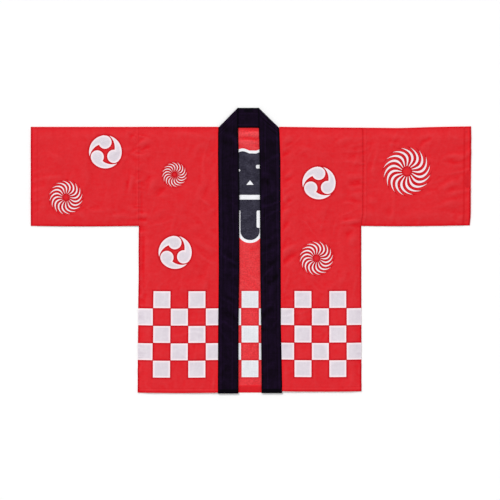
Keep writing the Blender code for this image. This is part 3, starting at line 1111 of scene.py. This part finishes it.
def bandCloth():
    dye = Dye("collar cotton")
    u, v = dye.cut()
    black, paleBlack, edge = (colour(*look["collar"][key]) for key in ("black", "paleBlack", "edge"))
    # uneven black, with raised creases painted paler as a painted highlight
    base = dye.mix(patchesAndCreaseShade(dye, u, v, "collar"), black, paleBlack)
    # darkest along both long edges, painted shadow on the turned-in ends, and darker along the top of the neck
    middle = bandWidth * 500
    toEdge = middle - abs(abs(u) - middle)
    fromNeck = abs(v - halfBand * 1000)
    depth = look["collar"]["depth"]
    onEnd = edgeOf(halfBand * 1000 - fromNeck - band["turnedIn"], 2.0) * depth["end"]
    onNeck = edgeOf(abs(u) - band["turnedIn"], 3.0) * edgeOf(fromNeck - bandInner * 1000, 6.0) * depth["neck"]
    dark = (depth["edge"] - toEdge / depth["edgeReach"]).clamped().atLeast(onEnd).atLeast(onNeck)
    return weaveCloth(dye, u, v, dye.mix(dark, base, edge), "collar")


def dress(piece, outside, inside):
    for material in (outside, inside):
        piece.data.materials.append(material)
    wall = piece.modifiers["wall"]
    wall.material_offset = 1
    wall.material_offset_rim = 0


for piece in (frontRight, frontLeft, sleeveRight, sleeveLeft, backPanel):
    dress(piece, printedCloth(piece.name, "outside"), printedCloth(piece.name, "inside"))
collar.data.materials.append(bandCloth())

print("stage: stitches")

stitching = {"pitch": 0.0042, "length": 0.0034, "thread": 0.00048, "seed": 5, "wobble": 0.07,
             "plyLength": 0.0007, "plyDepth": 0.12,
             "turn": 0.0045}     # no stitches this near to where the cloth turns over


def makeStitchTree():
    tree = bpy.data.node_groups.new("stitch rows", "GeometryNodeTree")
    sockets = {"Row": "Geometry", "Pitch": "Float", "Length": "Float", "Thread": "Float", "Seed": "Int",
               "Material": "Material"}
    for name, kind in sockets.items():
        tree.interface.new_socket(name, in_out="INPUT", socket_type=f"NodeSocket{kind}")
    tree.interface.new_socket("Stitches", in_out="OUTPUT", socket_type="NodeSocketGeometry")
    nodes = Nodes(tree)
    given = dict(zip(sockets, nodes.node("NodeGroupInput", None, None, tuple(sockets))))
    row = nodes.node("GeometryNodeMeshToCurve", None, {"Mesh": given["Row"]})
    spaced = nodes.node("GeometryNodeResampleCurve", {"mode": "LENGTH"},
                        {"Curve": row, "Length": given["Pitch"]})
    thread = given["Thread"]
    size = nodes.node("ShaderNodeCombineXYZ", None, {"X": thread, "Y": thread, "Z": given["Length"]})
    grain = nodes.node("GeometryNodeMeshUVSphere", None, {"Segments": 6, "Rings": 4, "Radius": 0.5})
    direction = nodes.node("GeometryNodeInputTangent")
    turn = nodes.node("FunctionNodeAlignRotationToVector", {"axis": "Z"}, {"Vector": direction})
    most = stitching["wobble"]
    wobble = nodes.node("FunctionNodeRandomValue", {"data_type": "FLOAT_VECTOR"},
                        {0: (-most,) * 3, 1: (most,) * 3, "Seed": given["Seed"]})
    turned = nodes.node("FunctionNodeRotateRotation", {"rotation_space": "LOCAL"},
                        {"Rotation": turn, "Rotate By": wobble})
    stitches = nodes.node("GeometryNodeInstanceOnPoints", None,
                          {"Points": spaced, "Instance": grain, "Rotation": turned, "Scale": size})
    solid = nodes.node("GeometryNodeRealizeInstances", None, {"Geometry": stitches})
    dyed = nodes.node("GeometryNodeSetMaterial", None, {"Geometry": solid, "Material": given["Material"]})
    nodes.node("NodeGroupOutput", None, {"Stitches": dyed}, ())
    return tree


def alongCloth(lay, u, v, out):
    # places just above the cloth's outer face, along a row on the cut
    small = 1e-4
    here = np.stack(lay(u, v))
    pastU = np.stack(lay(u + small, v)) - here
    pastV = np.stack(lay(u, v + small)) - here
    facing = np.cross(pastU.T, pastV.T)
    facing /= np.linalg.norm(facing, axis=1)[:, None]
    lift = cloth["thickness"] / 2 + stitching["thread"] * 0.1
    places = here.T + facing * out * lift
    # under the lowest layer the stitches are pressed up into the cloth
    places[:, 2] = np.maximum(places[:, 2], stitching["thread"] * 0.75)
    return places


def sew(name, rows, thread):
    points, edges = [], []
    for row in rows:
        first = len(points)
        points += row.tolist()
        edges += [(index, index + 1) for index in range(first, len(points) - 1)]
    mesh = bpy.data.meshes.new(name)
    mesh.from_pydata(points, edges, [])
    seam = bpy.data.objects.new(name, mesh)
    bpy.context.scene.collection.objects.link(seam)
    rowMaker = seam.modifiers.new("stitches", "NODES")
    rowMaker.node_group = stitchTree
    values = {"Pitch": stitching["pitch"], "Length": stitching["length"], "Thread": stitching["thread"],
              "Seed": stitching["seed"], "Material": thread}
    for socket in stitchTree.interface.items_tree:
        if socket.name in values:
            rowMaker[socket.identifier] = values[socket.name]
    evaluated = seam.evaluated_get(bpy.context.evaluated_depsgraph_get())
    sewn = bpy.data.meshes.new_from_object(evaluated)
    seam.modifiers.clear()
    seam.data = sewn
    sewn.shade_smooth()
    return seam


def threadOf(name, shade):
    dye = Dye(name)
    place = dye.node("ShaderNodeTexCoord", None, None, "Object")
    x, y = dye.node("ShaderNodeSeparateXYZ", None, {0: place}, ("X", "Y"))
    ply = ((x + y) * (2 * math.pi / stitching["plyLength"])).maths("SINE")
    tone = dye.scaled(shade[:3], 1.0 + ply * stitching["plyDepth"])
    return dye.finish({"Base Color": tone, "Roughness": 0.6, "Specular IOR Level": 0.1})


stitchTree = makeStitchTree()
redThread = threadOf("red thread", colour(213, 38, 46))
blackThread = threadOf("black thread", colour(14, 8, 18))


def rowAcross(lay, start, end, v, out):
    u = np.linspace(start, end, max(2, round(abs(end - start) / 0.004)))
    return alongCloth(lay, u, np.full_like(u, v), out)


def rowDown(lay, u, start, end, out):
    v = np.linspace(start, end, max(2, round(abs(end - start) / 0.002)))
    return alongCloth(lay, np.full_like(v, u), v, out)


frontHemV = bodyLength - front["hemStitch"]
backHemV = bodyLength - back["hemStitch"]
cuffU = cuffX - sleeve["hemStitch"]
armholeU = halfWidth + sleeve["ridge"]
bandSeamW = bandWidth - band["stitch"]
seams = {}
for side, frontPiece, sleevePiece in ((-1, frontRight, sleeveRight), (1, frontLeft, sleeveLeft)):
    hem = rowAcross(layFront(side), bandOuter + 0.002, halfWidth - 0.001, frontHemV, -side)
    seams[frontPiece] = sew(f"{frontPiece.name}Stitches", [hem], redThread)
    rows = [rowDown(laySleeve(side), u, start, end, -side)
            for u in (cuffU, armholeU)
            for start, end in ((-sleeveEdge, -stitching["turn"]), (stitching["turn"], sleeveEdge))]
    seams[sleevePiece] = sew(f"{sleevePiece.name}Stitches", rows, redThread)
backRows = [rowAcross(layBack, -halfWidth + 0.002, halfWidth - 0.002, backHemV, out) for out in (-1, 1)]
seams[backPanel] = sew("backPanelStitches", backRows, redThread)
bandRuns = ((0.003, foldStart - stitching["turn"]), (foldEnd + stitching["turn"], halfBand - 0.002))
bandRows = [
    alongCloth(layBand, np.full(450, w), np.abs(far - np.linspace(*run, 450)), 1.0)
    for w in (-bandSeamW, bandSeamW) for far in (0, 2 * halfBand) for run in bandRuns
]
seams[collar] = sew("collarBandStitches", bandRows, blackThread)

print("stage: floor, light and camera")

studio = {
    "floor": 0.955,
    "glow": 0.05,
    "horizon": 1.0,
    "overhead": 0.48,
    "key": 2.17,
    "keyFrom": (-0.90, 1.60, 1.43),
    "keySoftness": 20,
    "fill": 0.22,
    "fillFrom": (1.3, -0.9, 1.5),
    "fillSoftness": 60,
    "lens": 85,
    "share": 0.88,           # the coat's part of the picture's width
}

bpy.ops.mesh.primitive_plane_add(size=80, location=(0, 0, 0))
floor = bpy.context.object
floor.name = "floor"
floor.data.materials.append(Dye("pale floor").finish({
    "Base Color": (studio["floor"],) * 3 + (1.0,),
    "Roughness": 0.9,
    "Specular IOR Level": 0.1,
    "Emission Color": (1.0, 1.0, 1.0, 1.0),
    "Emission Strength": studio["glow"],
}))


def hangSky():
    # bright at the horizon, so that the floor has no end, and softer overhead
    world = bpy.data.worlds.new("studio")
    bpy.context.scene.world = world
    world.use_nodes = True
    nodes = Nodes(world.node_tree)
    place = nodes.node("ShaderNodeTexCoord", None, None, "Generated")
    height = nodes.node("ShaderNodeSeparateXYZ", None, {"Vector": place}, "Z")
    blend = nodes.node(
        "ShaderNodeMapRange", {"interpolation_type": "SMOOTHSTEP"},
        {"Value": height, "From Max": 0.6, "To Min": studio["horizon"], "To Max": studio["overhead"]})
    sky = world.node_tree.nodes["Background"]
    nodes.feed(sky.inputs["Strength"], blend)
    nodes.feed(sky.inputs["Color"], (1, 1, 1, 1))


def addSun(name, strength, softness, place):
    lamp = bpy.data.lights.new(name, "SUN")
    lamp.energy = strength
    lamp.angle = math.radians(softness)
    light = bpy.data.objects.new(name, lamp)
    light.rotation_mode = "QUATERNION"
    light.rotation_quaternion = (-Vector(place)).to_track_quat("-Z", "Y")
    bpy.context.scene.collection.objects.link(light)


hangSky()
addSun("key", studio["key"], studio["keySoftness"], studio["keyFrom"])
addSun("fill", studio["fill"], studio["fillSoftness"], studio["fillFrom"])

lens = bpy.data.cameras.new("camera")
camera = bpy.data.objects.new("camera", lens)
bpy.context.scene.collection.objects.link(camera)
bpy.context.scene.camera = camera
lens.lens = studio["lens"]
pictureWidth = 2 * cuffX / studio["share"]
camera.location = (0, 0, pictureWidth * lens.lens / lens.sensor_width)
bpy.context.scene.view_settings.view_transform = "Standard"

print("stage: what each piece is")

cutSizes = {
    "frontRight": (halfWidth - bandOuter, bodyLength + front["hem"]),
    "frontLeft": (halfWidth - bandOuter, bodyLength + front["hem"]),
    "sleeveRight": (cuffX - halfWidth + sleeve["hem"], 2 * sleeveDepth),
    "sleeveLeft": (cuffX - halfWidth + sleeve["hem"], 2 * sleeveDepth),
    "backPanel": (2 * halfWidth, bodyLength + back["hem"]),
    "collarBand": (2 * bandWidth, 2 * halfBand),
}
nodeOf = {"frontRight": "front_right", "frontLeft": "front_left", "sleeveRight": "sleeve_right",
          "sleeveLeft": "sleeve_left", "backPanel": "back", "collarBand": "collar"}
for piece in (backPanel, frontRight, frontLeft, sleeveRight, sleeveLeft, collar):
    node = nodeOf[piece.name]
    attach(piece, "root")
    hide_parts(node)
    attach(seams[piece], "root")
